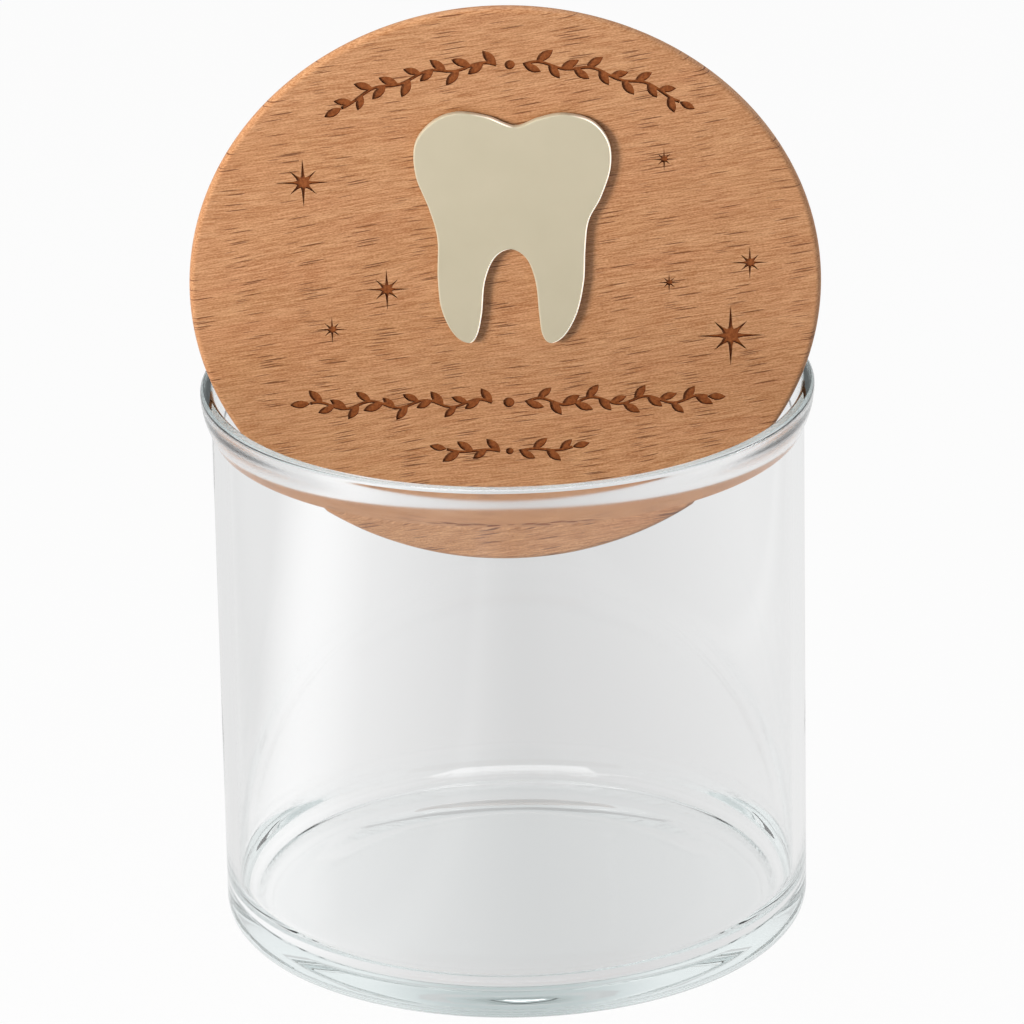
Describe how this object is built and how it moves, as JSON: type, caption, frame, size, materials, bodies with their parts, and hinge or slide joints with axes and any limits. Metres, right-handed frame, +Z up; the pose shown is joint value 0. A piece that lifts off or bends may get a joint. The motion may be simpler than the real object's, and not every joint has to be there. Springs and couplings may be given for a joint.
{
  "type": "gift jar",
  "caption": "Clear glass storage jar with a round beech lid that stands in its mouth, a soft sealing ring on the plug and a tooth-shaped plate on the face.",
  "frame": {"origin": "middle of the jar's foot, on the surface it stands on", "axes": "+Z up along the jar's axis, -Y towards the side that the lid's face looks at, +X to the right seen from there"},
  "size_m": [0.105, 0.103, 0.1659],
  "materials": {
    "clear_glass": "clear, with a faint green cast",
    "oiled_beech": "satin, lightly oiled, grain across the face",
    "clear_silicone": "milky, satin",
    "cream_acrylic": "satin"
  },
  "bodies": {
    "jar": {"glass_jar": "clear_glass"},
    "lid": {"lid_board": "oiled_beech", "seal_ring": "clear_silicone", "tooth_plate": "cream_acrylic"}
  },
  "joints": [
    {"name": "lid_lift", "type": "slide", "parent": "jar", "child": "lid", "axis": [0, 0, 1], "range_m": [0, 0.06]}
  ]
}
